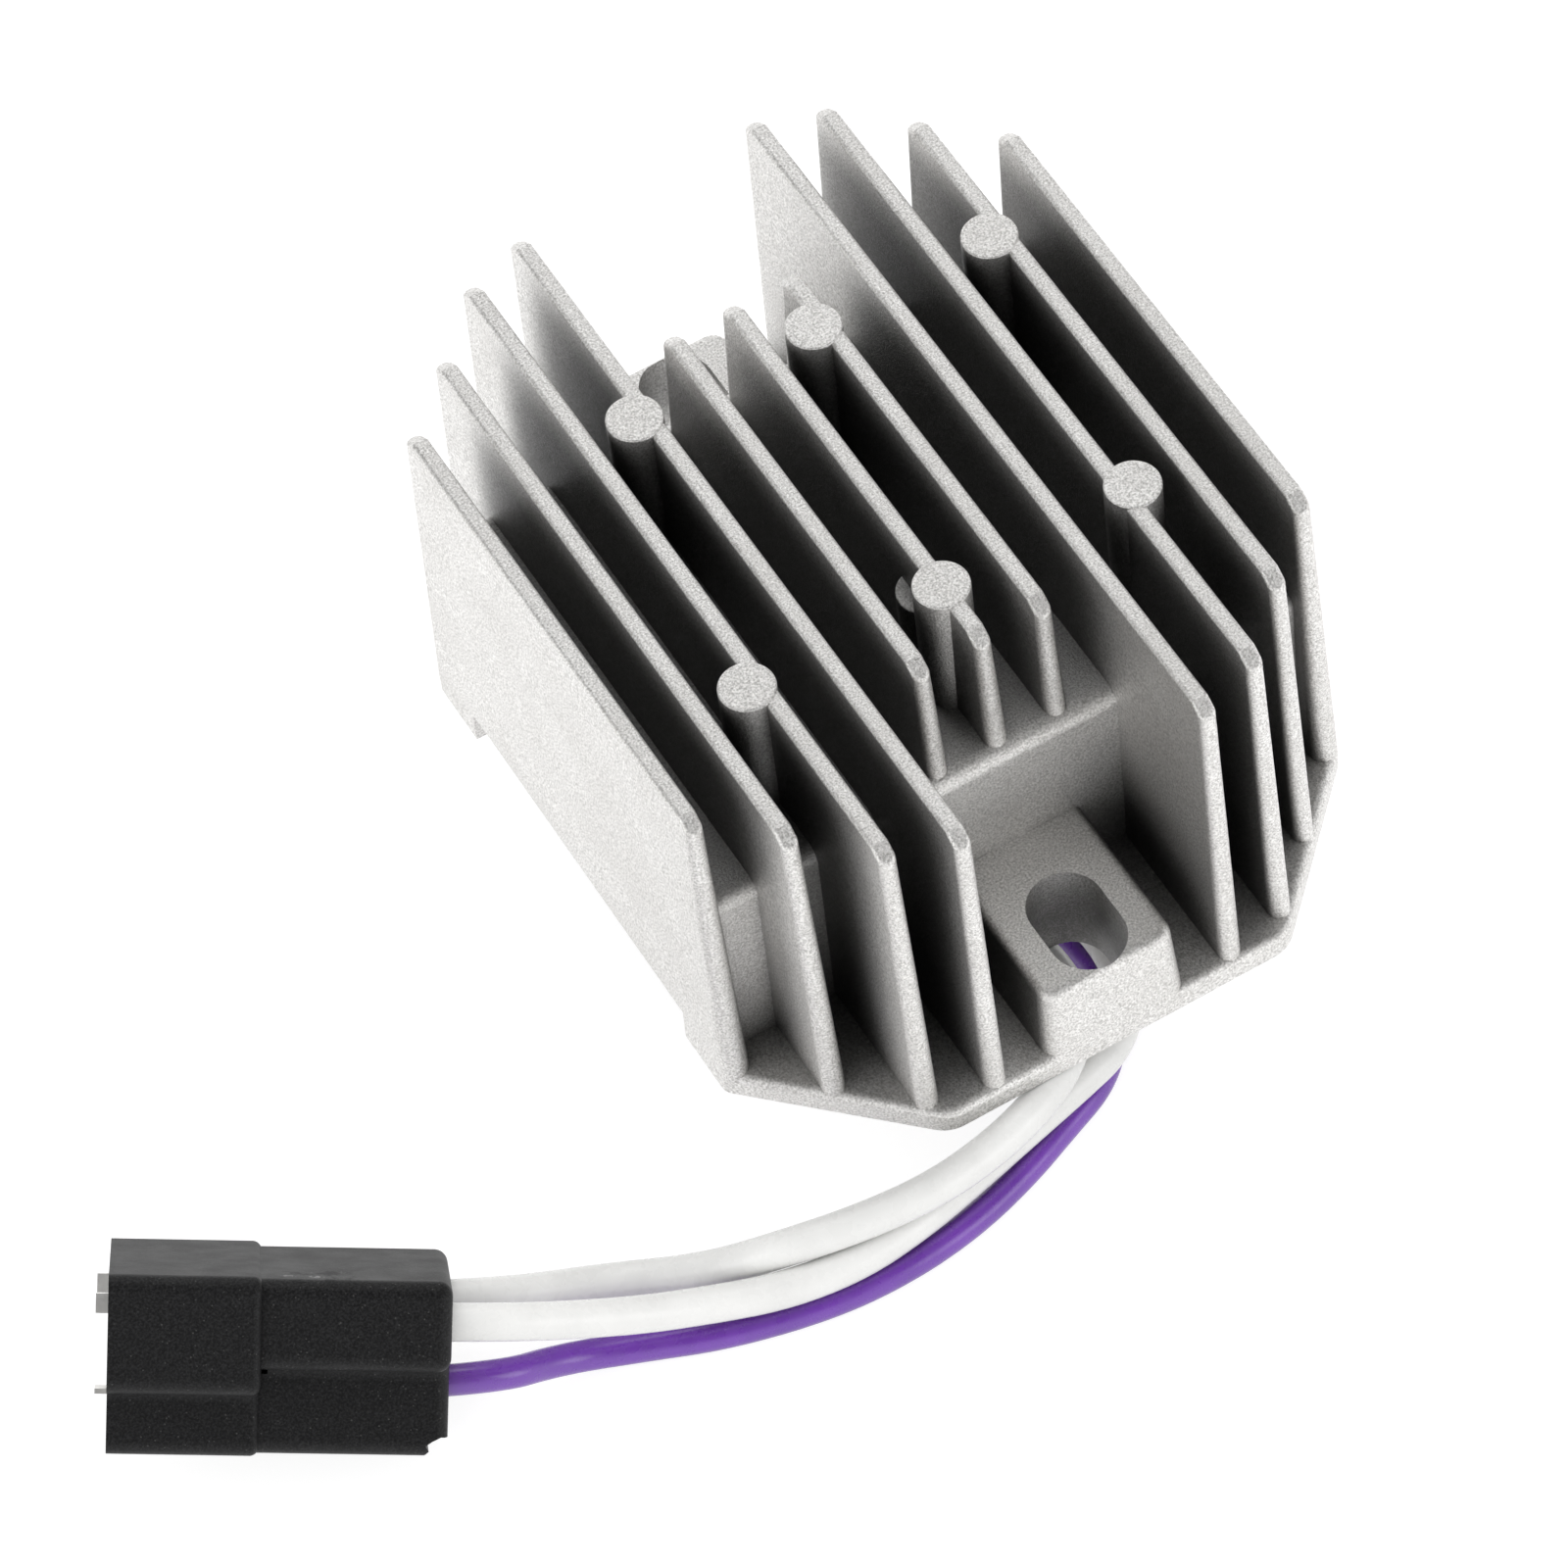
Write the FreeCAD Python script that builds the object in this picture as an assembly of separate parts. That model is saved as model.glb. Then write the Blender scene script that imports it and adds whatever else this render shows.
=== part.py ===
import FreeCAD, Part
import math
import os

V = FreeCAD.Vector

# Lengths that only serve the making of the shapes
tolerance = 1e-4
shortest_edge = 1.0
cut_margin = 1.0
bend_share = 0.45

# Finned voltage regulator, millimetres. X runs across the fins, Y along them, Z is up.
# The origin is midway between the two mounting slots, on the plane that bolts down.

# Base and raised block
base_half_width = 31.7
base_half_length = 40.3
base_corner_cut = 14.4
base_thickness = 2.5
base_corner_round = 3.5
base_side_round = 1.5
base_edge_round = 0.8
ear_reach = 16.55
block_half_length = base_half_length - ear_reach
block_top = 24.2
block_edge_round = 1.5
foot_overlap = 4.75
middle_rise = 3.8

# Fins, with how far their ends stand back from the end of the base, from the outer fin inwards
fin_pitch = 6.0
fin_count = 11
fin_top_height = 38.8
fin_top_thickness = 1.65
fin_foot_thickness = 2.15
fin_top_setbacks = (15.4, 9.8, 3.9, 1.7)
fin_foot_setbacks = (13.5, 7.3, 1.6, 0.3)
middle_fin_top_setback = 18.5
middle_fin_foot_setback = 17.4
fin_bevel_length = 1.6
fin_bevel_slope = 0.73
fin_edge_round = 0.4
fin_root_depth = 0.8

# Posts on the fins
post_radius = 2.57
post_proud = 0.15
post_setback = 8.75
post_edge_round = 0.18
front_post_x = (-19.3, -0.15, 18.95)
rear_post_x = (-13.2, 4.8, 22.7)
short_post_setback = 12.45
short_post_drop = 5.2

# Slotted ears
ear_top = 11.0
ear_top_half_width = 6.6
ear_foot_half_width = 7.1
ear_front_setback = 0.6
ear_corner_round = 1.7
ear_edge_round = 1.0
slot_to_end = 6.3
slot_spacing = 2 * (base_half_length - slot_to_end)
slot_width = 7.0
slot_length = 10.7

# Potting cavity
cavity_side_wall = 3.5
cavity_end_wall = 6.75
cavity_half_width = base_half_width - cavity_side_wall
cavity_half_length = block_half_length - cavity_end_wall
cavity_roof = 20.2
cavity_corner_round = 2.0
potting_recess = 0.8
potting_bottom = middle_rise + potting_recess

# Board and power packages
board_side_clearance = 1.7
board_end_clearance = 2.0
board_half_width = cavity_half_width - board_side_clearance
board_half_length = cavity_half_length - board_end_clearance
board_bottom = 11.0
board_thickness = 1.6
pad_margin = 0.5
pad_half_width = board_half_width - pad_margin
pad_half_length = board_half_length - pad_margin
pad_thickness = 0.4
package_names = ("thyristor_1", "rectifier_diode_1", "rectifier_diode_2", "thyristor_2")
package_pitch = 2 * board_half_width / len(package_names)
package_gap = 3.25
package_width = package_pitch - package_gap
package_depth = 0.63 * pad_half_length
package_height = 4.4
tab_end_margin = 1.1
tab_length = 0.43 * pad_half_length
tab_thickness = 1.3
tab_hole_radius = 0.29 * tab_length
lead_width = 0.8
lead_thickness = 0.5
lead_pitch = 2.54
lead_reach = 3.4
lead_tail = 0.8

# Small parts on the underside of the board, each placed by its share of the board's half width and length
part_lead_diameter = 0.6
part_lead_overhang = 2.0
part_lead_depth = 0.5
part_gap = 0.15
resistor_radius = 1.2
resistor_length = 6.4
resistor_places = (("gate_resistor_1", -0.7, 0.53),
                   ("gate_resistor_2", 0.7, 0.53),
                   ("sense_resistor", 0.0, 0.73))
zener_radius = 1.35
zener_length = 5.0
zener_place = (-0.45, 0.17)
capacitor_radius = 2.5
capacitor_length = 11.0
capacitor_place = (0.3, 0.17)
capacitor_lead_pitch = 2.0
transistor_radius = 2.3
transistor_depth = 3.6
transistor_height = 4.0
transistor_standoff = 1.0
transistor_place = (-0.06, 0.2)

# Wires
white_wire_diameter = 3.35
purple_wire_diameter = 2.8
conductor_radius = 0.9
solder_radius = 1.7
solder_height = 1.1
wire_exit_y = -0.766 * board_half_length

# Connector, in its own frame: X to the mating end, Y across the bar, Z from the stem to the bar
plug_origin = V(-79.7, -29.0, 0.3)
plug_yaw = 151.1
plug_pitch = 8.9
plug_roll = 48.7
mating_length = 13.0
wire_end_length = 16.1
bar_half_width = 10.1
bar_thickness = 10.2
stem_half_width = 5.2
stem_depth = 6.2
wire_end_narrowing = 0.9
wire_end_step = 2.07
wire_end_top_drop = 0.3
wire_end_stem_rise = 0.2
plug_edge_round = 1.4
plug_step_round = 0.8
plug_end_round = 1.2
chip_length = 2.0
chip_height = 1.7
chip_depth = 8.0
chip_outline = ((0.0, 1.0), (0.3, 1.05), (0.65, 0.85), (0.95, 0.6), (0.8, 0.3), (1.0, 0.0))
cavity_width = 8.0
cavity_height = 3.3
mating_cavity_start = -0.6
bar_cavity_y = 4.8
bar_cavity_z = 5.1
bar_wire_z = 5.8
stem_cavity_z = -2.8
stem_wire_z = -0.6
crimp_bore_radius = 2.2
crimp_bore_start = -11.0
crimp_bore_end = 0.9
wire_bore_clearance = 0.25
terminal_width = 7.3
terminal_height = 2.6
terminal_wall = 0.45
terminal_recess = 0.4
terminal_rear = 0.2
tongue_proud = 1.1
tongue_width = 1.7
tongue_offset = 1.7
crimp_radius = 1.75
crimp_start = -10.0
wire_entry = -20.0

# Wire routes from the potting to the crimps
white_route_1 = [
    V(-3.0, wire_exit_y, potting_bottom), V(-3.0, wire_exit_y, 1.0), V(-2.8, wire_exit_y - 2.5, -1.7),
    V(-2.2, wire_exit_y - 7.1, -1.9),
    V(-1.4, -24.2, -1.78), V(-0.2, -29.8, -1.78), V(-1.1, -34.6, -1.78), V(-4.2, -38.4, -1.78),
    V(-8.9, -41.0, -1.78), V(-14.6, -42.7, -1.78), V(-21.0, -43.5, -1.78), V(-28.0, -42.9, -1.78),
    V(-34.5, -40.7, -2.9), V(-41.0, -37.3, -6.1), V(-48.4, -32.3, -8.0)]
white_route_2 = [
    V(5.0, wire_exit_y, potting_bottom), V(5.0, wire_exit_y, 0.6), V(5.0, wire_exit_y - 1.9, -3.2),
    V(5.0, wire_exit_y - 5.9, -5.3),
    V(5.1, -22.6, -5.18), V(5.9, -28.0, -5.18), V(4.3, -33.3, -5.18), V(0.5, -37.3, -5.18),
    V(-4.5, -39.5, -5.18), V(-10.4, -40.6, -5.18), V(-16.3, -42.1, -5.18), V(-22.4, -43.5, -5.18),
    V(-29.2, -44.3, -5.18), V(-36.2, -43.5, -5.1), V(-43.0, -41.6, -4.2), V(-50.0, -40.0, -1.6)]
purple_route = [
    V(1.2, wire_exit_y, potting_bottom), V(1.2, wire_exit_y, 0.6), V(1.4, wire_exit_y - 1.4, -3.7),
    V(2.0, wire_exit_y - 4.5, -7.2),
    V(2.9, -19.8, -8.28), V(4.5, -26.4, -8.28), V(4.2, -31.2, -8.28), V(1.8, -35.3, -8.28),
    V(-1.6, -38.5, -8.28), V(-6.4, -40.4, -8.28), V(-11.7, -42.6, -8.28), V(-18.1, -44.5, -8.28),
    V(-25.2, -45.5, -8.28), V(-32.7, -44.9, -8.28), V(-43.0, -42.1, -8.28), V(-52.8, -37.2, -8.2)]


def box(x0, x1, y0, y1, z0, z1):
    return Part.makeBox(x1 - x0, y1 - y0, z1 - z0, V(x0, y0, z0))


def rod(radius, start, end):
    return Part.makeCylinder(radius, (end - start).Length, start, end - start)


def closed(points):
    return Part.makePolygon(points + points[:1])


def rectangle(x0, x1, y0, y1, z):
    return closed([V(x0, y0, z), V(x1, y0, z), V(x1, y1, z), V(x0, y1, z)])


def rounded(shape, radius, wanted):
    return shape.makeFillet(radius, [edge for edge in shape.Edges if wanted(edge)])


def ends_at(edge, axis, value):
    return all(abs(vertex.Point[axis] - value) < tolerance for vertex in edge.Vertexes)


def rises(edge):
    ends = [vertex.Point.z for vertex in edge.Vertexes]
    return len(ends) == 2 and abs(ends[0] - ends[1]) > shortest_edge


# The base is a plate with eight sides
def base_plate():
    end_x = base_half_width - base_corner_cut
    side_y = base_half_length - base_corner_cut
    outline = [V(base_half_width, side_y, 0), V(end_x, base_half_length, 0),
               V(-end_x, base_half_length, 0), V(-base_half_width, side_y, 0),
               V(-base_half_width, -side_y, 0), V(-end_x, -base_half_length, 0),
               V(end_x, -base_half_length, 0), V(base_half_width, -side_y, 0)]
    plate = Part.Face(closed(outline)).extrude(V(0, 0, base_thickness))

    def end_corner(edge):
        return rises(edge) and abs(abs(edge.Vertexes[0].X) - end_x) < tolerance

    def side_corner(edge):
        return rises(edge) and abs(abs(edge.Vertexes[0].X) - base_half_width) < tolerance

    plate = rounded(plate, base_corner_round, end_corner)
    plate = rounded(plate, base_side_round, side_corner)
    return rounded(plate, base_edge_round, lambda edge: ends_at(edge, 2, base_thickness))


# The block carries the fins, and its sides lean in as far as the outer fins do
def outer_lean(z):
    outer_fin_top = (fin_count - 1) / 2 * fin_pitch + fin_top_thickness / 2
    return base_half_width - (base_half_width - outer_fin_top) * z / fin_top_height


def block():
    top_width = outer_lean(block_top)
    lower = rectangle(-base_half_width, base_half_width, -block_half_length, block_half_length, 0)
    upper = rectangle(-top_width, top_width, -block_half_length, block_half_length, block_top)
    solid = Part.makeLoft([lower, upper], True, True)

    def end_top(edge):
        return ends_at(edge, 2, block_top) and (
            ends_at(edge, 1, block_half_length) or ends_at(edge, 1, -block_half_length))

    return rounded(solid, block_edge_round, end_top)


# A fin's outline seen from above, with half round ends
def round_ended(left, right, length, z):
    straight = length - (right - left) / 2
    middle = (left + right) / 2
    return Part.Wire([Part.LineSegment(V(right, -straight, z), V(right, straight, z)).toShape(),
                      Part.Arc(V(right, straight, z), V(middle, length, z), V(left, straight, z)).toShape(),
                      Part.LineSegment(V(left, straight, z), V(left, -straight, z)).toShape(),
                      Part.Arc(V(left, -straight, z), V(middle, -length, z), V(right, -straight, z)).toShape()])


# What the bevel at the top of a fin's end takes away
def fin_bevel(x, top_length):
    left = x - fin_pitch / 2
    start = top_length - fin_bevel_length
    end = top_length + fin_bevel_length
    low = fin_top_height - 2 * fin_bevel_length * fin_bevel_slope
    high = fin_top_height + cut_margin
    profile = [V(left, start, fin_top_height), V(left, end, low), V(left, end, high), V(left, start, high)]
    return Part.Face(closed(profile)).extrude(V(fin_pitch, 0, 0))


# A fin tapers upwards, and its ends lean in
def fin(number):
    x = (number - (fin_count - 1) / 2) * fin_pitch
    place = min(number, fin_count - 1 - number)
    on_block = place >= len(fin_top_setbacks)
    top_setback = middle_fin_top_setback if on_block else fin_top_setbacks[place]
    foot_setback = middle_fin_foot_setback if on_block else fin_foot_setbacks[place]
    top_length = base_half_length - top_setback
    foot_length = base_half_length - foot_setback
    foot_z = (block_top if on_block else base_thickness) - fin_root_depth
    left = -outer_lean(foot_z) if number == 0 else x - fin_foot_thickness / 2
    right = outer_lean(foot_z) if number == fin_count - 1 else x + fin_foot_thickness / 2
    half_top = fin_top_thickness / 2
    solid = Part.makeLoft([round_ended(left, right, foot_length, foot_z),
                           round_ended(x - half_top, x + half_top, top_length, fin_top_height)], True, True)
    bevel = fin_bevel(x, top_length)
    solid = solid.cut([bevel, bevel.mirror(V(0, 0, 0), V(0, 1, 0))])

    def near_top(edge):
        across = abs(edge.Vertexes[0].X - edge.Vertexes[-1].X) > half_top
        return not across and min(vertex.Z for vertex in edge.Vertexes) > fin_top_height - 2 * fin_bevel_length

    return rounded(solid, fin_edge_round, near_top)


def post(x, y, top):
    solid = rod(post_radius, V(x, y, block_top - fin_root_depth), V(x, y, top))
    return rounded(solid, post_edge_round, lambda edge: ends_at(edge, 2, top))


# One short post stands on the middle fin, behind the front post
def posts():
    top = fin_top_height + post_proud
    row_y = block_half_length - post_setback
    solids = [post(x, -row_y, top) for x in front_post_x]
    solids += [post(x, row_y, top) for x in rear_post_x]
    solids.append(post(0, short_post_setback - block_half_length, top - short_post_drop))
    return solids


def front_ear():
    inner = block_half_length - base_thickness
    front = base_half_length
    foot_z = base_thickness - fin_root_depth
    lower = rectangle(-ear_foot_half_width, ear_foot_half_width, -front, -inner, foot_z)
    upper = rectangle(-ear_top_half_width, ear_top_half_width, -front + ear_front_setback, -inner, ear_top)
    solid = Part.makeLoft([lower, upper], True, True)

    def outer_corner(edge):
        return rises(edge) and edge.CenterOfMass.y < -slot_spacing / 2

    solid = rounded(solid, ear_corner_round, outer_corner)
    return rounded(solid, ear_edge_round, lambda edge: ends_at(edge, 2, ear_top) and not ends_at(edge, 1, -inner))


def slot(y):
    straight = (slot_length - slot_width) / 2
    radius = slot_width / 2
    depth = ear_top + 2 * cut_margin
    cutter = box(-radius, radius, y - straight, y + straight, -cut_margin, depth)
    for end_y in (y - straight, y + straight):
        cutter = cutter.fuse(rod(radius, V(0, end_y, -cut_margin), V(0, end_y, depth)))
    return cutter.removeSplitter()


def hollow(bottom):
    room = box(-cavity_half_width, cavity_half_width, -cavity_half_length, cavity_half_length, bottom, cavity_roof)
    return rounded(room, cavity_corner_round, rises)


def heat_sink():
    ear = front_ear()
    fins = [fin(number) for number in range(fin_count)]
    casting = base_plate().fuse([block(), ear, ear.mirror(V(0, 0, 0), V(0, 1, 0))] + fins + posts())
    reach = base_half_width + cut_margin
    foot_inner_edge = block_half_length - foot_overlap
    casting = casting.cut(box(-reach, reach, -foot_inner_edge, foot_inner_edge, -cut_margin, middle_rise))
    casting = casting.cut([slot(-slot_spacing / 2), slot(slot_spacing / 2), hollow(-cut_margin)])
    return casting.removeSplitter()


# Power packages lie with their tabs against the pad under the cavity roof
def package(x):
    top = cavity_roof - pad_thickness
    tab_end = pad_half_length - tab_end_margin
    back_y = tab_end - tab_length
    front_y = back_y - package_depth
    left = x - package_width / 2
    right = x + package_width / 2
    body = box(left, right, front_y, back_y, top - package_height, top)
    tab = box(left, right, back_y, tab_end, top - tab_thickness, top)
    hole_y = back_y + tab_length / 2
    hole = rod(tab_hole_radius, V(x, hole_y, top - tab_thickness - cut_margin), V(x, hole_y, top + cut_margin))
    pieces = [tab.cut(hole)]
    lead_top = top - package_height / 2 + lead_thickness / 2
    bend_y = front_y - lead_reach
    for lead_x in (x - lead_pitch, x, x + lead_pitch):
        near = lead_x - lead_width / 2
        far = lead_x + lead_width / 2
        pieces.append(box(near, far, bend_y, front_y, lead_top - lead_thickness, lead_top))
        pieces.append(box(near, far, bend_y, bend_y + lead_thickness, board_bottom - lead_tail, lead_top))
    return body.fuse(pieces).removeSplitter()


# A wire runs straight between its bends, and each bend is as wide as its two runs allow
def bend_radius(before, corner, after):
    shorter = min((before - corner).Length, (after - corner).Length)
    turn = math.pi - (before - corner).getAngle(after - corner)
    return bend_share * shorter / math.tan(turn / 2), turn


def bent_tube(route, diameter):
    edges = []
    start = route[0]
    radii = []
    for before, corner, after in zip(route, route[1:], route[2:]):
        radius, turn = bend_radius(before, corner, after)
        radii.append(radius)
        trim = radius * math.tan(turn / 2)
        to_before = (before - corner).normalize()
        to_after = (after - corner).normalize()
        first = corner + to_before * trim
        last = corner + to_after * trim
        toward_middle = (to_before + to_after).normalize()
        middle = corner + toward_middle * (radius / math.cos(turn / 2) - radius)
        edges.append(Part.LineSegment(start, first).toShape())
        edges.append(Part.Arc(first, middle, last).toShape())
        start = last
    edges.append(Part.LineSegment(start, route[-1]).toShape())
    spine = Part.Wire(edges)
    section = Part.Wire(Part.Circle(route[0], route[1] - route[0], diameter / 2).toShape())
    return spine.makePipeShell([section], True, True), spine.Length, radii


def wire(name, route, diameter):
    tube, length, radii = bent_tube(route, diameter)
    expected = math.pi * diameter ** 2 / 4 * length
    print(name, "length", round(length, 2), "volume over section times length", round(tube.Volume / expected, 4),
          "radii", [round(radius, 1) for radius in radii])
    return tube


# A small part's lead comes out of its end, and turns up through the board
def part_lead(x, y, z, away):
    turn_x = x + away * part_lead_overhang
    route = [V(x - away * part_lead_depth, y, z), V(turn_x, y, z),
             V(turn_x, y, board_bottom + board_thickness + lead_tail)]
    return bent_tube(route, part_lead_diameter)[0]


def on_board(place):
    return place[0] * board_half_width, place[1] * board_half_length


# Parts with a lead at each end lie along X under the board
def axial_part(place, radius, length):
    x, y = on_board(place)
    z = board_bottom - radius - part_gap
    body = rod(radius, V(x - length / 2, y, z), V(x + length / 2, y, z))
    return body.fuse([part_lead(x - length / 2, y, z, -1), part_lead(x + length / 2, y, z, 1)]).removeSplitter()


def capacitor():
    x, y = on_board(capacitor_place)
    z = board_bottom - capacitor_radius - part_gap
    body = rod(capacitor_radius, V(x, y, z), V(x + capacitor_length, y, z))
    side = capacitor_lead_pitch / 2
    return body.fuse([part_lead(x, y - side, z, -1), part_lead(x, y + side, z, -1)]).removeSplitter()


def transistor():
    x, y = on_board(transistor_place)
    top = board_bottom - transistor_standoff
    bottom = top - transistor_height
    body = rod(transistor_radius, V(x, y, bottom), V(x, y, top))
    flat_y = y + transistor_depth - transistor_radius
    reach = 2 * transistor_radius
    body = body.cut(box(x - reach, x + reach, flat_y, y + reach, bottom - cut_margin, top + cut_margin))
    leg_radius = part_lead_diameter / 2
    leg_top = board_bottom + board_thickness + lead_tail
    legs = [rod(leg_radius, V(leg_x, y, top - part_lead_depth), V(leg_x, y, leg_top))
            for leg_x in (x - lead_pitch / 2, x, x + lead_pitch / 2)]
    return body.fuse(legs).removeSplitter()


def conductor(exit_point):
    board_top = board_bottom + board_thickness
    top = V(exit_point.x, exit_point.y, board_top + solder_height)
    foot = V(exit_point.x, exit_point.y, board_top)
    joint = Part.makeCone(solder_radius, conductor_radius, solder_height, foot)
    return rod(conductor_radius, exit_point, top).fuse(joint).removeSplitter()


def board(passing):
    plate = box(-board_half_width, board_half_width, -board_half_length, board_half_length,
                board_bottom, board_bottom + board_thickness)
    return plate.cut(passing)


def thermal_pad():
    return box(-pad_half_width, pad_half_width, -pad_half_length, pad_half_length,
               cavity_roof - pad_thickness, cavity_roof)


# The connector is modelled in its own frame, then laid in place
plug_turn = (FreeCAD.Rotation(V(0, 0, 1), plug_yaw) * FreeCAD.Rotation(V(0, 1, 0), -plug_pitch)
             * FreeCAD.Rotation(V(1, 0, 0), plug_roll))


def lay(shape):
    placed = shape.copy()
    placed.Placement = FreeCAD.Placement(plug_origin, plug_turn)
    return placed


def lay_point(point):
    return plug_origin + plug_turn.multVec(point)


def tee(x0, x1, bar_y, bar_bottom, bar_top, stem_y, stem_bottom):
    outline = [V(x0, -bar_y, bar_top), V(x0, -bar_y, bar_bottom), V(x0, -stem_y, bar_bottom),
               V(x0, -stem_y, stem_bottom), V(x0, stem_y, stem_bottom), V(x0, stem_y, bar_bottom),
               V(x0, bar_y, bar_bottom), V(x0, bar_y, bar_top)]
    solid = Part.Face(closed(outline)).extrude(V(x1 - x0, 0, 0))

    def lengthwise(edge):
        return abs(edge.Vertexes[0].X - edge.Vertexes[-1].X) > shortest_edge

    return rounded(solid, plug_edge_round, lengthwise)


# Each cavity is its middle, the height of its wire, whether its blade stands upright, and its wire's diameter
cavities = ((-bar_cavity_y, bar_cavity_z, bar_wire_z, True, white_wire_diameter),
            (bar_cavity_y, bar_cavity_z, bar_wire_z, True, white_wire_diameter),
            (0.0, stem_cavity_z, stem_wire_z, False, purple_wire_diameter))


def flat_bar(x0, x1, y, z, upright, width, height):
    across = height if upright else width
    up = width if upright else height
    return box(x0, x1, y - across / 2, y + across / 2, z - up / 2, z + up / 2)


# A piece is broken off one corner of the stem, at the wire end
def chip():
    side = stem_half_width - wire_end_narrowing / 2
    bottom = wire_end_stem_rise - stem_depth
    torn = [V(chip_length * along - wire_end_length, side - chip_depth, bottom + chip_height * up)
            for along, up in chip_outline]
    outside = -wire_end_length - cut_margin
    torn += [V(torn[-1].x, torn[-1].y, bottom - cut_margin), V(outside, torn[0].y, bottom - cut_margin),
             V(outside, torn[0].y, torn[0].z)]
    return Part.Face(closed(torn)).extrude(V(0, chip_depth + cut_margin, 0))


def connector_housing():
    mating = tee(0, mating_length, bar_half_width, 0, bar_thickness, stem_half_width, -stem_depth)
    mating = rounded(mating, plug_step_round, lambda edge: ends_at(edge, 0, 0))
    wire_end = tee(-wire_end_length, plug_step_round, bar_half_width - wire_end_narrowing, wire_end_step,
                   bar_thickness - wire_end_top_drop, stem_half_width - wire_end_narrowing / 2,
                   -stem_depth + wire_end_stem_rise)
    wire_end = rounded(wire_end, plug_end_round, lambda edge: ends_at(edge, 0, -wire_end_length))
    housing = mating.fuse(wire_end).cut(chip())
    for y, z, wire_z, upright, diameter in cavities:
        mouth = flat_bar(mating_cavity_start, mating_length + cut_margin, y, z, upright,
                         cavity_width, cavity_height)
        crimp = rod(crimp_bore_radius, V(crimp_bore_start, y, wire_z), V(crimp_bore_end, y, wire_z))
        entry = rod(diameter / 2 + wire_bore_clearance, V(-wire_end_length - cut_margin, y, wire_z),
                    V(crimp_bore_start, y, wire_z))
        housing = housing.cut([mouth, crimp, entry])
    return lay(housing.removeSplitter())


# A terminal is a flat sleeve with a tongue at its front and a round crimp behind
def terminal(y, z, wire_z, upright):
    front = mating_length - terminal_recess
    outer = flat_bar(terminal_rear, front, y, z, upright, terminal_width, terminal_height)
    inner = flat_bar(terminal_rear + terminal_wall, front + cut_margin, y, z, upright,
                     terminal_width - 2 * terminal_wall, terminal_height - 2 * terminal_wall)
    crimp = rod(crimp_radius, V(crimp_start, y, wire_z), V(terminal_rear + terminal_wall / 2, y, wire_z))
    tongue_y = y - (terminal_height - terminal_wall) / 2 if upright else y - tongue_offset
    tongue_z = z + tongue_offset if upright else z + (terminal_height - terminal_wall) / 2
    tongue = flat_bar(front - tongue_width, mating_length + tongue_proud, tongue_y, tongue_z, upright,
                      tongue_width, terminal_wall)
    return lay(outer.cut(inner).fuse([crimp, tongue]).removeSplitter())


def save(name, shape):
    print(name, "solids", len(shape.Solids), "valid", shape.isValid(), "volume", round(shape.Volume, 1))
    shape.exportStep("parts/" + name + ".step")


os.makedirs("parts", exist_ok=True)

crimps = [lay_point(V(crimp_start, cavity[0], cavity[2])) for cavity in cavities]
entries = [lay_point(V(wire_entry, cavity[0], cavity[2])) for cavity in cavities]
routes = [route + [entry, crimp]
          for route, entry, crimp in zip((white_route_1, white_route_2, purple_route), entries, crimps)]

inner_parts = [(name, package((number - (len(package_names) - 1) / 2) * package_pitch))
               for number, name in enumerate(package_names)]
inner_parts += [(name, axial_part((x, y), resistor_radius, resistor_length)) for name, x, y in resistor_places]
inner_parts.append(("zener_diode", axial_part(zener_place, zener_radius, zener_length)))
inner_parts.append(("filter_capacitor", capacitor()))
inner_parts.append(("control_transistor", transistor()))
inner_parts += [("conductor_end_" + str(number), conductor(route[0])) for number, route in enumerate(routes, 1)]
inner_parts.append(("circuit_board", board([shape for name, shape in inner_parts])))
inner_parts.append(("thermal_pad", thermal_pad()))
potting = hollow(potting_bottom).cut([shape for name, shape in inner_parts])

save("heat_sink", heat_sink())
save("potting_compound", potting)
for name, shape in inner_parts:
    save(name, shape)
save("white_wire_1", wire("white_wire_1", routes[0], white_wire_diameter))
save("white_wire_2", wire("white_wire_2", routes[1], white_wire_diameter))
save("purple_wire", wire("purple_wire", routes[2], purple_wire_diameter))
save("connector_housing", connector_housing())
for number, (y, z, wire_z, upright, diameter) in enumerate(cavities, 1):
    save("terminal_" + str(number), terminal(y, z, wire_z, upright))
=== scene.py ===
import bpy
from math import radians
from mathutils import Matrix, Vector


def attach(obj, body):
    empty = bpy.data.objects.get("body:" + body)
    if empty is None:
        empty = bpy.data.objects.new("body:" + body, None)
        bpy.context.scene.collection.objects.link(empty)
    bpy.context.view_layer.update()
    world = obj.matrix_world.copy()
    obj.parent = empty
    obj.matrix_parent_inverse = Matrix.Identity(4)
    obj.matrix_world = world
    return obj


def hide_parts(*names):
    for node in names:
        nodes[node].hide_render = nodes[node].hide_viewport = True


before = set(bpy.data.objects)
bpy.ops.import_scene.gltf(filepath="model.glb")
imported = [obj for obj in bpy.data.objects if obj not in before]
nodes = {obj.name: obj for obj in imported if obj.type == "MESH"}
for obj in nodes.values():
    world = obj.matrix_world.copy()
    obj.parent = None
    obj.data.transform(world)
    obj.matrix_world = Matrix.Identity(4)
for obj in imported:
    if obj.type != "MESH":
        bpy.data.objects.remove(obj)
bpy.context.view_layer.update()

MM = 0.001

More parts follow.
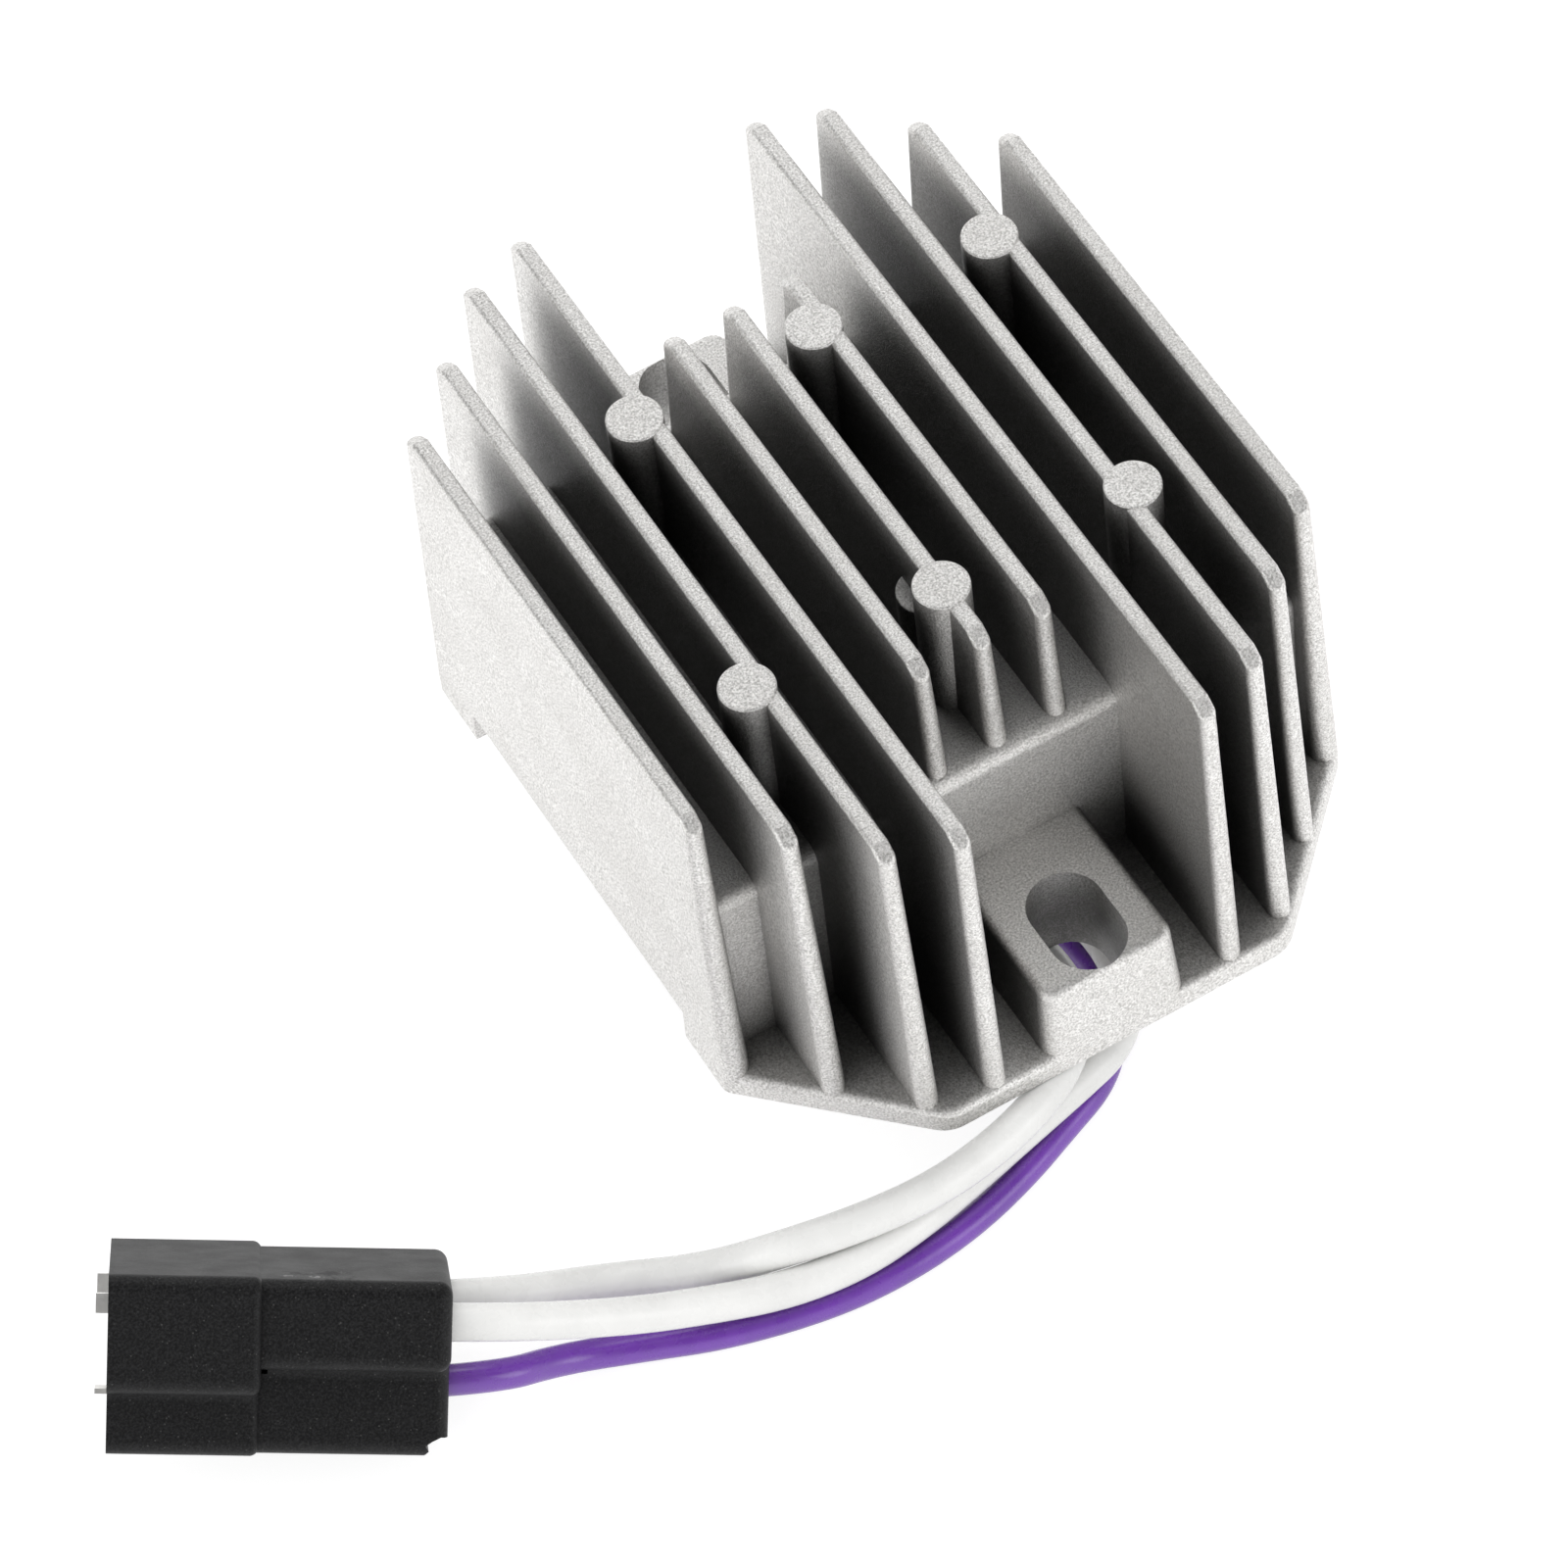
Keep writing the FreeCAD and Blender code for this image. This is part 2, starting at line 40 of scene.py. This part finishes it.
# The camera stands as in the photograph
CAMERA_PLACE = Vector((-176.174, -382.080, 598.684)) * MM
CAMERA_RIGHT = Vector((0.86091, -0.50205, -0.08236))
CAMERA_DOWN = Vector((-0.45548, -0.68845, -0.56443))
CAMERA_FORWARD = Vector((0.22667, 0.52343, -0.82136))
SENSOR_WIDTH = 36.0
FOCAL_LENGTH = 187.05
NEAREST_SEEN = 0.01
FARTHEST_SEEN = 20.0

# The wires' diameters in metres, and how finely their tubes are divided around and along
WHITE_DIAMETER = 3.35 * MM
PURPLE_DIAMETER = 2.8 * MM
STEPS_AROUND = 10
STEPS_ALONG = 12

# How large the grain, spots, clouds and dents of each surface are, and how far the painted shade in its
# gaps reaches
CAST_GRAIN = 0.2 * MM
CAST_GLINT = 0.26 * MM
CAST_CLOUD = 7.0 * MM
CAST_DENT = 1.4 * MM
CAST_GAP = 12.0 * MM
VINYL_GRAIN = 0.5 * MM
VINYL_SHEEN = 1.1 * MM
VINYL_CLOUD = 5.0 * MM
VINYL_DENT = 4.0 * MM
VINYL_GAP = 3.0 * MM
NYLON_GRAIN = 0.2 * MM
NYLON_SPECK = 0.24 * MM
NYLON_SHEEN = 3.0 * MM
NYLON_DENT = 2.2 * MM
PLAIN_GRAIN = 0.6 * MM
PLAIN_CLOUD = 3.0 * MM
PLAIN_HEIGHT = 0.03 * MM
GAP_SAMPLES = 8

# The connector's own frame, and the scuffed place on its top in millimetres of that frame,
# where the scuffs thin out from SCUFF_CORE of their reach to its end
PLUG_ORIGIN = (-79.7, -29.0, 0.3)
PLUG_TURN = (radians(48.7), radians(-8.9), radians(151.1))
SCUFF_PLACE = (-5.0, 6.2, 9.9)
SCUFF_REACH = (4.8, 3.2, 1.5)
SCUFF_CORE = 0.6
STREAK_SCALE = (0.7, 0.45, 1.0)
STREAK_SIZE = 0.9

# The floor shows brighter than the light that it gives back, so it has two colours and a glow
FLOOR_Z = -9.7 * MM
FLOOR_REACH = 3.0
FLOOR_COLOUR = 0.8
FLOOR_SEEN_COLOUR = 0.38
FLOOR_GLOW = 0.8

# The room shows white up to WALL_TOP and grey from CEILING_START, as heights on a ball of radius 1
SKY_STRENGTH = 0.9
WALL_TOP = 0.25
WALL_COLOUR = 1.0
CEILING_START = 0.6
CEILING_COLOUR = 0.2

# Each softbox has a name, a place and the length of a side in metres, and a power in watts
SOFTBOXES = (("left", (-0.75, -0.15, 0.38), 0.5, 1.2),
             ("front_right", (0.45, -0.75, 0.40), 0.5, 1.2),
             ("back", (0.22, 0.5, 0.76), 0.7, 2.4))


def camera():
    data = bpy.data.cameras.new("camera")
    data.sensor_width = SENSOR_WIDTH
    data.lens = FOCAL_LENGTH
    data.clip_start = NEAREST_SEEN
    data.clip_end = FARTHEST_SEEN
    obj = bpy.data.objects.new("camera", data)
    turn = Matrix((CAMERA_RIGHT, -CAMERA_DOWN, -CAMERA_FORWARD)).transposed().to_4x4()
    obj.matrix_world = Matrix.Translation(CAMERA_PLACE) @ turn
    bpy.context.scene.collection.objects.link(obj)
    bpy.context.scene.camera = obj


camera()


# Points along the wires in millimetres, those of the tubes with some moved to follow the photograph
WHITE_ROUTE_1 = [
    (-3.0, -11.49, 4.6), (-3.0, -11.49, 1.0), (-2.8, -13.99, -1.7), (-2.2, -18.59, -1.9),
    (-1.4, -24.2, -1.78), (-0.2, -29.8, -1.78), (-1.1, -34.6, -1.78), (-4.2, -38.4, -1.78),
    (-8.9, -41.0, -1.78), (-14.6, -42.7, -1.78), (-21.0, -43.5, -1.78), (-28.0, -42.9, -1.78),
    (-34.5, -40.9, -2.9), (-41.0, -37.3, -6.1), (-48.2, -32.4, -8.0),
    (-58.5, -31.7, -2.3), (-67.38, -27.20, -1.03)]
WHITE_ROUTE_2 = [
    (5.0, -11.49, 4.6), (5.0, -11.49, 0.6), (5.0, -13.39, -3.2), (5.0, -17.39, -5.3),
    (5.1, -22.6, -5.18), (5.9, -28.0, -5.18), (4.7, -33.4, -5.18), (1.0, -37.6, -5.18),
    (-4.3, -39.1, -5.18), (-10.4, -40.6, -5.18), (-16.3, -42.1, -5.18), (-22.4, -43.5, -5.18),
    (-29.2, -44.3, -5.18), (-36.2, -43.5, -4.9), (-43.0, -41.5, -4.0), (-50.0, -40.0, -1.6),
    (-60.82, -38.07, 4.55), (-69.47, -33.29, 6.09)]
PURPLE_ROUTE = [
    (1.2, -11.49, 4.6), (1.2, -11.49, 0.6), (1.4, -12.89, -3.7), (2.0, -15.99, -7.2),
    (2.9, -19.8, -8.28), (4.5, -26.4, -8.28), (4.2, -31.2, -8.28), (1.8, -35.3, -8.28),
    (-1.6, -38.5, -8.28), (-6.4, -40.4, -8.28), (-11.7, -42.6, -8.28), (-18.1, -44.5, -8.28),
    (-25.2, -45.33, -8.28), (-32.7, -44.9, -8.28), (-41.8, -42.6, -8.28), (-48.8, -39.6, -8.25),
    (-55.7, -37.6, -6.9), (-62.4, -38.6, -2.6), (-71.32, -34.14, -1.64)]


def wire(name, route, diameter, node):
    """A round wire, whose bevel of 1 is brought to its own radius at each point."""
    curve = bpy.data.curves.new(name, "CURVE")
    curve.dimensions = "3D"
    curve.bevel_depth = 1.0
    curve.bevel_resolution = STEPS_AROUND
    curve.resolution_u = STEPS_ALONG
    curve.use_fill_caps = True
    spline = curve.splines.new("NURBS")
    spline.points.add(len(route) - 1)
    for point, place in zip(spline.points, route):
        point.co = (*[value * MM for value in place], 1.0)
        point.radius = diameter / 2
    spline.order_u = 3
    spline.use_endpoint_u = True
    obj = bpy.data.objects.new(name, curve)
    bpy.context.scene.collection.objects.link(obj)
    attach(obj, "root")
    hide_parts(node)
    return obj


white_1 = wire("white_lead_1", WHITE_ROUTE_1, WHITE_DIAMETER, "white_wire_1")
white_2 = wire("white_lead_2", WHITE_ROUTE_2, WHITE_DIAMETER, "white_wire_2")
purple = wire("purple_lead", PURPLE_ROUTE, PURPLE_DIAMETER, "purple_wire")


def add_node(tree, kind, inputs=None, **settings):
    """A shader node, whose inputs are each linked from a socket or set to a value."""
    made = tree.nodes.new("ShaderNode" + kind)
    for key, value in settings.items():
        setattr(made, key, value)
    for socket, value in (inputs or {}).items():
        if isinstance(value, bpy.types.NodeSocket):
            tree.links.new(value, made.inputs[socket])
        else:
            made.inputs[socket].default_value = value
    return made


class Look:
    """A procedural material, built around one Principled shader, with sizes in metres."""

    def __init__(self, name, colour, roughness, metallic=0.0, **sockets):
        self.material = bpy.data.materials.new(name)
        self.material.use_nodes = True
        self.tree = self.material.node_tree
        self.shader = self.tree.nodes["Principled BSDF"]
        self.shader.inputs["Base Color"].default_value = (*colour, 1.0)
        self.shader.inputs["Roughness"].default_value = roughness
        self.shader.inputs["Metallic"].default_value = metallic
        for socket, value in sockets.items():
            self.shader.inputs[socket.replace("_", " ")].default_value = value
        self.place = self.tree.nodes.new("ShaderNodeTexCoord").outputs["Object"]

    def node(self, kind, inputs=None, **settings):
        return add_node(self.tree, kind, inputs, **settings)

    def noise(self, size, detail=2.0, roughness=0.5, place=None):
        return self.node("TexNoise", {"Vector": place or self.place, "Scale": 1.0 / size,
                                      "Detail": detail, "Roughness": roughness}).outputs["Fac"]

    def spots(self, size, channel, rarity, edge):
        """Small round spots. One channel of a cell's random colour decides by rarity whether it has
        a spot, and the distance from the cell's middle decides by edge how the spot fades."""
        cells = self.node("TexVoronoi", {"Vector": self.place, "Scale": 1.0 / size})
        chance = self.node("SeparateColor", {"Color": cells.outputs["Color"]}).outputs[channel]
        chosen = self.spread(chance, *rarity)
        return self.math("MULTIPLY", chosen, self.spread(cells.outputs["Distance"], *edge))

    def gap(self, reach):
        """How open a place is, from 0 deep in a gap to 1 where nothing stands within reach."""
        return self.node("AmbientOcclusion", {"Distance": reach}, samples=GAP_SAMPLES).outputs["AO"]

    def spread(self, value, low, high, to_low=0.0, to_high=1.0):
        return self.node("MapRange", {"Value": value, "From Min": low, "From Max": high,
                                      "To Min": to_low, "To Max": to_high}).outputs["Result"]

    def math(self, operation, first, second):
        return self.node("Math", {0: first, 1: second}, operation=operation).outputs[0]

    def mix(self, share, first, second):
        """A blend of two colours, which are the node's inputs 6 and 7 and its output 2."""
        made = self.node("Mix", {"Factor": share}, data_type="RGBA")
        for index, value in ((6, first), (7, second)):
            if isinstance(value, bpy.types.NodeSocket):
                self.tree.links.new(value, made.inputs[index])
            else:
                made.inputs[index].default_value = (*value, 1.0)
        return made.outputs[2]

    def drive(self, socket, value):
        self.tree.links.new(value, self.shader.inputs[socket])

    def paint(self, colour):
        self.drive("Base Color", colour)

    def rough(self, value):
        self.drive("Roughness", value)

    def bump(self, height, distance, strength):
        """Each further bump is laid over those before it."""
        normal = self.shader.inputs["Normal"]
        made = self.node("Bump", {"Height": height, "Distance": distance, "Strength": strength})
        if normal.is_linked:
            self.tree.links.new(normal.links[0].from_socket, made.inputs["Normal"])
        self.drive("Normal", made.outputs[0])

    def wear(self, *objects):
        for obj in objects:
            obj.data.materials.clear()
            obj.data.materials.append(self.material)


def cast_aluminium():
    """Bright grainy metal with faint stains, small painted glints, and painted shade that darkens the gaps
    between the fins.
    """
    dull = (0.45, 0.44, 0.425)
    bright = (0.99, 0.98, 0.965)
    stain = (0.52, 0.50, 0.475)
    glint_colour = (0.99, 0.98, 0.96)
    shadow = (0.05, 0.049, 0.048)
    look = Look("cast_aluminium", (0.7, 0.69, 0.67), roughness=0.45, metallic=1.0)
    grain = look.noise(CAST_GRAIN, detail=3.0, roughness=0.7)
    cloud = look.noise(CAST_CLOUD, detail=3.0)
    tone = look.mix(look.spread(grain, 0.34, 0.64), dull, bright)
    tone = look.mix(look.spread(cloud, 0.35, 0.75, to_high=0.22), tone, stain)
    # Painted glints: bright specks in the base colour stand in for grains of metal catching the light.
    glint_spots = look.spots(CAST_GLINT, channel=0, rarity=(0.88, 0.93), edge=(0.5, 0.25))
    tone = look.mix(look.math("MULTIPLY", glint_spots, 0.75), tone, glint_colour)
    # Painted shade: deep in the gaps between the fins the base colour darkens to near black.
    gap_shade = look.spread(look.gap(CAST_GAP), 0.14, 0.52, to_low=0.92, to_high=0.0)
    look.paint(look.mix(gap_shade, tone, shadow))
    look.rough(look.spread(grain, 0.3, 0.7, to_low=0.5, to_high=0.38))
    look.bump(grain, distance=0.08 * MM, strength=0.95)
    look.bump(look.noise(CAST_DENT), distance=0.05 * MM, strength=0.4)
    return look


def insulation(name, colour, shade, contact_shade, gloss):
    """Smooth vinyl with painted shadow, which darkens it by the share contact_shade where another wire
    lies close.
    """
    shadow = tuple(0.3 * value for value in colour)
    look = Look(name, colour, roughness=0.36, Specular_IOR_Level=gloss)
    cloud = look.noise(VINYL_CLOUD, detail=3.0)
    tone = look.mix(look.spread(cloud, 0.35, 0.75), colour, shade)
    # Painted shadow: the colour darkens where another wire lies close beside it.
    contact_shadow = look.spread(look.gap(VINYL_GAP), 0.15, 0.75, to_low=contact_shade, to_high=0.0)
    look.paint(look.mix(contact_shadow, tone, shadow))
    look.rough(look.spread(look.noise(VINYL_SHEEN), 0.3, 0.7, to_low=0.22, to_high=0.34))
    look.bump(look.noise(VINYL_GRAIN), distance=0.012 * MM, strength=0.25)
    look.bump(look.noise(VINYL_DENT, detail=1.0), distance=0.12 * MM, strength=0.3)
    return look


def scuffs(look):
    """The dark and the pale marks on the connector's top, each from 0 to 1."""
    plug = look.node("Mapping", {"Vector": look.place, "Location": Vector(PLUG_ORIGIN) * MM,
                                 "Rotation": PLUG_TURN, "Scale": (MM, MM, MM)},
                     vector_type="TEXTURE").outputs[0]
    spot = look.node("Mapping", {"Vector": plug, "Location": SCUFF_PLACE, "Scale": SCUFF_REACH},
                     vector_type="TEXTURE").outputs[0]
    away = look.node("VectorMath", {0: spot}, operation="LENGTH").outputs["Value"]
    near = look.spread(away, 1.0, SCUFF_CORE)
    streaks = look.node("Mapping", {"Vector": plug, "Scale": STREAK_SCALE}).outputs[0]
    scratch = look.noise(STREAK_SIZE, detail=3.0, roughness=0.65, place=streaks)
    dark = look.math("MULTIPLY", near, look.spread(scratch, 0.51, 0.59))
    pale = look.math("MULTIPLY", near, look.spread(scratch, 0.39, 0.33))
    return dark, pale


def black_nylon():
    """Dull black moulding with a fine grain and pale specks, scuffed on top."""
    low = (0.004, 0.004, 0.0045)
    high = (0.022, 0.022, 0.023)
    speck = (0.16, 0.16, 0.155)
    scraped = (0.3, 0.3, 0.3)
    gloss = 0.2
    scuffed_gloss = 0.08
    look = Look("black_nylon", (0.01, 0.01, 0.011), roughness=0.5, Specular_IOR_Level=gloss)
    grain = look.noise(NYLON_GRAIN, detail=3.0, roughness=0.6)
    tone = look.mix(look.spread(grain, 0.4, 0.72), low, high)
    specks = look.spots(NYLON_SPECK, channel=1, rarity=(0.93, 0.97), edge=(0.4, 0.15))
    tone = look.mix(look.math("MULTIPLY", specks, 0.3), tone, speck)
    dark, pale = scuffs(look)
    look.paint(look.mix(look.math("MULTIPLY", pale, 0.6), tone, scraped))
    look.drive("Specular IOR Level", look.spread(dark, 0.0, 1.0, to_low=gloss, to_high=scuffed_gloss))
    look.rough(look.spread(look.noise(NYLON_SHEEN, detail=3.0), 0.3, 0.7, to_low=0.46, to_high=0.54))
    look.bump(grain, distance=0.04 * MM, strength=0.7)
    look.bump(look.noise(NYLON_DENT), distance=0.05 * MM, strength=0.3)
    return look


def plain(name, colour, shade, roughness, metallic=0.0, grain_size=PLAIN_GRAIN, height=PLAIN_HEIGHT):
    """A surface that is clouded from colour to shade and has an even grain."""
    look = Look(name, colour, roughness, metallic)
    cloud = look.noise(PLAIN_CLOUD, detail=3.0)
    look.paint(look.mix(look.spread(cloud, 0.3, 0.7), colour, shade))
    smoothest = roughness * 0.85
    roughest = min(1.0, roughness * 1.2)
    look.rough(look.spread(look.noise(grain_size * 2), 0.3, 0.7, to_low=smoothest, to_high=roughest))
    look.bump(look.noise(grain_size, detail=3.0), distance=height, strength=0.6)
    return look


def wear_on(look, *names):
    look.wear(*[nodes[name] for name in names])


wear_on(cast_aluminium(), "heat_sink")
insulation("white_insulation", (0.87, 0.87, 0.855), (0.79, 0.79, 0.775),
           contact_shade=0.25, gloss=0.5).wear(white_1, white_2)
insulation("purple_insulation", (0.165, 0.028, 0.43), (0.125, 0.02, 0.35),
           contact_shade=0.8, gloss=1.0).wear(purple)
wear_on(black_nylon(), "connector_housing")
wear_on(plain("tinned_brass", (0.96, 0.95, 0.93), (0.84, 0.83, 0.80), roughness=0.42, metallic=1.0),
        "terminal_1", "terminal_2", "terminal_3")
wear_on(plain("potting_resin", (0.014, 0.014, 0.015), (0.024, 0.023, 0.022), roughness=0.3,
              grain_size=2.5 * MM, height=0.1 * MM), "potting_compound")
wear_on(plain("board_laminate", (0.03, 0.13, 0.05), (0.02, 0.09, 0.04), roughness=0.4),
        "circuit_board")
wear_on(plain("pad_silicone", (0.42, 0.47, 0.49), (0.36, 0.4, 0.42), roughness=0.8),
        "thermal_pad")
wear_on(plain("package_epoxy", (0.02, 0.02, 0.021), (0.035, 0.034, 0.033), roughness=0.55),
        "thyristor_1", "thyristor_2", "rectifier_diode_1", "rectifier_diode_2", "control_transistor")
wear_on(plain("resistor_lacquer", (0.55, 0.38, 0.2), (0.45, 0.3, 0.16), roughness=0.3),
        "gate_resistor_1", "gate_resistor_2", "sense_resistor")
wear_on(plain("diode_glass", (0.35, 0.1, 0.03), (0.25, 0.07, 0.02), roughness=0.15),
        "zener_diode")
wear_on(plain("capacitor_sleeve", (0.02, 0.03, 0.09), (0.015, 0.02, 0.06), roughness=0.3),
        "filter_capacitor")
wear_on(plain("tinned_copper", (0.7, 0.66, 0.6), (0.6, 0.5, 0.42), roughness=0.35, metallic=1.0),
        "conductor_end_1", "conductor_end_2", "conductor_end_3")


def grey(value):
    return (value, value, value, 1.0)


def seen_directly(tree):
    """1 where a surface is seen, also in a reflection or through glass, and 0 where it only lights."""
    rays = add_node(tree, "LightPath")
    total = rays.outputs["Is Camera Ray"]
    for name in ("Is Glossy Ray", "Is Transmission Ray"):
        either = add_node(tree, "Math", {0: total, 1: rays.outputs[name]}, operation="MAXIMUM")
        total = either.outputs[0]
    return total


def light_and_show(tree, lighting, seen, output):
    """One shader gives the light, and the other is what is seen."""
    mix = add_node(tree, "MixShader", {0: seen_directly(tree), 1: lighting.outputs[0], 2: seen.outputs[0]})
    tree.links.new(mix.outputs[0], tree.nodes[output].inputs["Surface"])


def studio_floor():
    mesh = bpy.data.meshes.new("studio_floor")
    corners = [(-FLOOR_REACH, -FLOOR_REACH, FLOOR_Z), (FLOOR_REACH, -FLOOR_REACH, FLOOR_Z),
               (FLOOR_REACH, FLOOR_REACH, FLOOR_Z), (-FLOOR_REACH, FLOOR_REACH, FLOOR_Z)]
    mesh.from_pydata(corners, [], [(0, 1, 2, 3)])
    floor = bpy.data.objects.new("studio_floor", mesh)
    bpy.context.scene.collection.objects.link(floor)
    material = bpy.data.materials.new("studio_white")
    material.use_nodes = True
    tree = material.node_tree
    tree.nodes.remove(tree.nodes["Principled BSDF"])
    diffuse = add_node(tree, "BsdfDiffuse", {"Color": grey(FLOOR_COLOUR)})
    faint = add_node(tree, "BsdfDiffuse", {"Color": grey(FLOOR_SEEN_COLOUR)})
    glow = add_node(tree, "Emission", {"Strength": FLOOR_GLOW})
    both = add_node(tree, "AddShader", {0: faint.outputs[0], 1: glow.outputs[0]})
    light_and_show(tree, diffuse, both, "Material Output")
    mesh.materials.append(material)


def studio_sky():
    world = bpy.data.worlds.new("studio_world")
    world.use_nodes = True
    tree = world.node_tree
    sky = tree.nodes["Background"]
    sky.inputs["Color"].default_value = grey(1.0)
    sky.inputs["Strength"].default_value = SKY_STRENGTH
    place = add_node(tree, "TexCoord")
    split = add_node(tree, "SeparateXYZ", {0: place.outputs["Generated"]})
    ramp = add_node(tree, "ValToRGB", {"Fac": split.outputs["Z"]})
    ramp.color_ramp.interpolation = "EASE"
    ramp.color_ramp.elements[0].position = WALL_TOP
    ramp.color_ramp.elements[0].color = grey(WALL_COLOUR)
    ramp.color_ramp.elements[1].position = CEILING_START
    ramp.color_ramp.elements[1].color = grey(CEILING_COLOUR)
    room = add_node(tree, "Background", {"Color": ramp.outputs["Color"]})
    light_and_show(tree, sky, room, "World Output")
    bpy.context.scene.world = world


def softbox(name, place, size, watts):
    """A square light, which faces the origin."""
    data = bpy.data.lights.new(name, "AREA")
    data.shape = "SQUARE"
    data.size = size
    data.energy = watts
    obj = bpy.data.objects.new(name, data)
    obj.location = place
    obj.rotation_euler = (-Vector(place)).to_track_quat("-Z", "Y").to_euler()
    bpy.context.scene.collection.objects.link(obj)


studio_floor()
studio_sky()
for settings in SOFTBOXES:
    softbox(*settings)

bpy.context.scene.view_settings.view_transform = "Standard"
